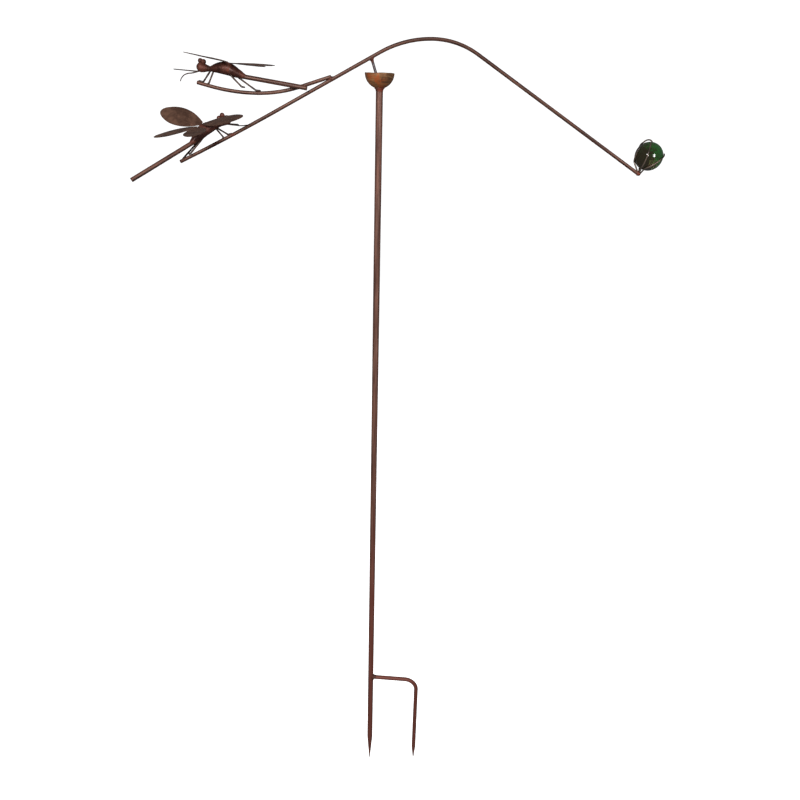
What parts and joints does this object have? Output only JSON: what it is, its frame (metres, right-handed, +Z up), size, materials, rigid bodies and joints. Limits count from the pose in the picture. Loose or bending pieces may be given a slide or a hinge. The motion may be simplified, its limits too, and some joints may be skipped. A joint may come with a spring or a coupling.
{
  "type": "kinetic garden balancer stake",
  "caption": "Forked garden stake with a cup, in which a bent arm rocks and turns on a pin, carrying wire-legged dragonflies at one end and a caged glass ball at the other.",
  "frame": {"origin": "on the pole's axis at the ground line, which is the top of the ground spike's straight wall; the cross bar of the second leg joins the pole just above it", "axes": "+Z up along the pole, +X toward the second leg and the glass ball, the arm lies in the XZ plane at rest, -Y is the front"},
  "size_m": [0.9483, 0.1689, 1.6535],
  "materials": {
    "rusted_stake": "matt brown rust patina under a clear lacquer",
    "rusted_rod": "matt grey-brown rust patina, darker at the edges",
    "rusted_body": "satin red-brown patina over hammered steel",
    "rusted_cup": "brown patina with orange rust patches",
    "sheet_steel": "matt brown patina on thin sheet, dark rims",
    "weld_bead": "rippled weld metal, matt dark brown",
    "dark_pin_steel": "dark satin steel, worn brighter along the pin",
    "dark_wire": "dark brown-grey wire with a slight sheen",
    "green_glass": "polished solid bottle-green glass"
  },
  "bodies": {
    "stand": {"pole": "rusted_stake", "pole_spike": "rusted_stake", "foot_prong": "rusted_stake", "foot_prong_weld": "weld_bead", "cup": "rusted_cup", "cup_weld": "weld_bead"},
    "pivot": {"pivot_tip": "dark_pin_steel"},
    "rocker": {"arm": "rusted_rod", "branch": "rusted_rod", "branch_weld": "weld_bead", "cage_claw_back": "dark_wire", "cage_claw_front": "dark_wire", "cage_claw_left": "dark_wire", "cage_claw_right": "dark_wire", "cage_weld": "weld_bead", "glass_ball": "green_glass", "lower_antenna_left": "dark_wire", "lower_antenna_right": "dark_wire", "lower_eye_left": "rusted_body", "lower_eye_right": "rusted_body", "lower_head": "rusted_body", "lower_leg_front_left": "dark_wire", "lower_leg_front_right": "dark_wire", "lower_leg_rear_left": "dark_wire", "lower_leg_rear_right": "dark_wire", "lower_tail": "rusted_rod", "lower_thorax": "rusted_body", "lower_wing_front_left": "sheet_steel", "lower_wing_front_right": "sheet_steel", "lower_wing_rear_left": "sheet_steel", "lower_wing_rear_right": "sheet_steel", "pivot_pin": "dark_pin_steel", "pivot_pin_weld": "weld_bead", "upper_antenna_left": "dark_wire", "upper_antenna_right": "dark_wire", "upper_eye_left": "rusted_body", "upper_eye_right": "rusted_body", "upper_head": "rusted_body", "upper_leg_front_left": "dark_wire", "upper_leg_front_right": "dark_wire", "upper_leg_rear_left": "dark_wire", "upper_leg_rear_right": "dark_wire", "upper_tail": "rusted_rod", "upper_thorax": "rusted_body", "upper_wing_front_left": "sheet_steel", "upper_wing_front_right": "sheet_steel", "upper_wing_rear_left": "sheet_steel", "upper_wing_rear_right": "sheet_steel"}
  },
  "joints": [
    {"name": "spin", "type": "hinge", "parent": "stand", "child": "pivot", "pos_m": [0, 0, 1.3243], "axis": [0, 0, 1], "continuous": true},
    {"name": "rock", "type": "hinge", "parent": "pivot", "child": "rocker", "pos_m": [0, 0, 1.3243], "axis": [0, 1, 0], "range_deg": [-25, 60]}
  ]
}
